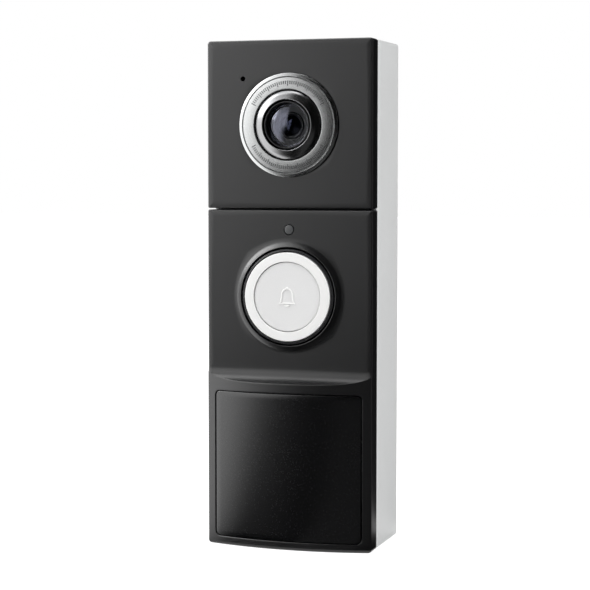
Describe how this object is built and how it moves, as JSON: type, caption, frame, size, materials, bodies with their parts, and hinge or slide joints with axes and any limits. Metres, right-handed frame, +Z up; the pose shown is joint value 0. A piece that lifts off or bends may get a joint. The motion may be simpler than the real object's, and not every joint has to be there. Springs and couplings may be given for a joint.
{
  "type": "video doorbell",
  "caption": "Slim battery video doorbell with a wide camera above a lit push button and a bulged motion window, on a wall plate that it tips off.",
  "frame": {"origin": "middle of the back face of the wall plate, on the wall", "axes": "+Z up along the body, +Y into the wall, so the front looks along -Y; +X to the right as seen from the front"},
  "size_m": [0.051, 0.0328, 0.15],
  "materials": {
    "cover_black": "satin moulded, fine speckle",
    "window_black": "smooth gloss",
    "housing_grey": "fine moulded satin",
    "plate_grey": "moulded",
    "frame_grey": "moulded",
    "brushed_ring": "fine turned and brushed",
    "polished_cone": "polished",
    "bezel_black": "satin",
    "lens_black": "black anodised look",
    "lens_glass": "coated",
    "cap_white": "satin",
    "ring_white": "translucent satin",
    "icon_white": "satin",
    "smoke": "smoked clear",
    "rubber_black": "matt",
    "silicone_grey": "matt",
    "board_green": "solder mask",
    "steel": "plain",
    "brass": "plain",
    "wrap_blue": "shrink wrap",
    "led_yellow": "resin",
    "moulded_black": "moulded",
    "copper": "bare"
  },
  "bodies": {
    "wall_plate": {"wall_plate": "plate_grey"},
    "unit": {"rear_housing": "housing_grey", "upper_front_cover": "cover_black", "lower_front_cover": "cover_black", "motion_window": "window_black", "lens_trim_ring": "brushed_ring", "lens_cone_ring": "polished_cone", "lens_barrel": "lens_black", "lens_front_glass": "lens_glass", "lens_middle_element": "lens_glass", "lens_rear_element": "lens_glass", "camera_board": "board_green", "image_sensor": "lens_black", "lens_holder": "moulded_black", "light_ring": "ring_white", "button_bezel_ring": "bezel_black", "button_return_pad": "silicone_grey", "button_board": "board_green", "button_switch": "moulded_black", "ring_led_1": "led_yellow", "ring_led_2": "led_yellow", "ring_led_3": "led_yellow", "ring_led_4": "led_yellow", "motion_board": "board_green", "motion_sensor": "steel", "motion_lens": "silicone_grey", "microphone": "steel", "microphone_gasket": "rubber_black", "status_led": "led_yellow", "status_light_pipe": "smoke", "latch_spring": "steel", "inner_frame": "frame_grey", "housing_seal": "rubber_black", "case_screw_1": "steel", "case_screw_2": "steel", "case_screw_3": "steel", "case_screw_4": "steel", "main_board": "board_green", "processor_shield": "steel", "battery_connector": "ring_white", "board_screw_1": "steel", "board_screw_2": "steel", "wifi_antenna": "copper", "battery_pack": "wrap_blue", "speaker_mesh": "rubber_black", "speaker_frame": "moulded_black", "speaker_cone": "bezel_black", "charging_port": "steel", "port_board": "board_green", "reset_switch": "moulded_black", "terminal_block": "moulded_black", "terminal_screw_1": "brass", "terminal_screw_2": "brass"},
    "button": {"doorbell_button": "cap_white", "bell_icon": "icon_white", "switch_plunger": "moulded_black"},
    "latch": {"release_latch": "moulded_black"},
    "port_flap": {"port_cover": "rubber_black"},
    "reset": {"reset_button": "rubber_black"}
  },
  "joints": [
    {"name": "unit_tilt", "type": "hinge", "parent": "wall_plate", "child": "unit", "pos_m": [0, -0.0003, 0.075], "axis": [-1, 0, 0], "range_deg": [0, 12]},
    {"name": "button_press", "type": "slide", "parent": "unit", "child": "button", "axis": [0, 1, 0], "range_m": [0, 0.0006], "stiffness_N_per_m": 800, "springref_m": -0.0015},
    {"name": "latch_slide", "type": "slide", "parent": "unit", "child": "latch", "axis": [0, 0, 1], "range_m": [0, 0.0015], "stiffness_N_per_m": 400, "springref_m": -0.002, "deforming": ["latch_spring"]},
    {"name": "flap_open", "type": "hinge", "parent": "unit", "child": "port_flap", "pos_m": [0, -0.0033, 0.0472], "axis": [1, 0, 0], "range_deg": [0, 105]},
    {"name": "reset_press", "type": "slide", "parent": "unit", "child": "reset", "axis": [0, -1, 0], "range_m": [0, 0.0005], "stiffness_N_per_m": 500, "springref_m": -0.0015}
  ]
}
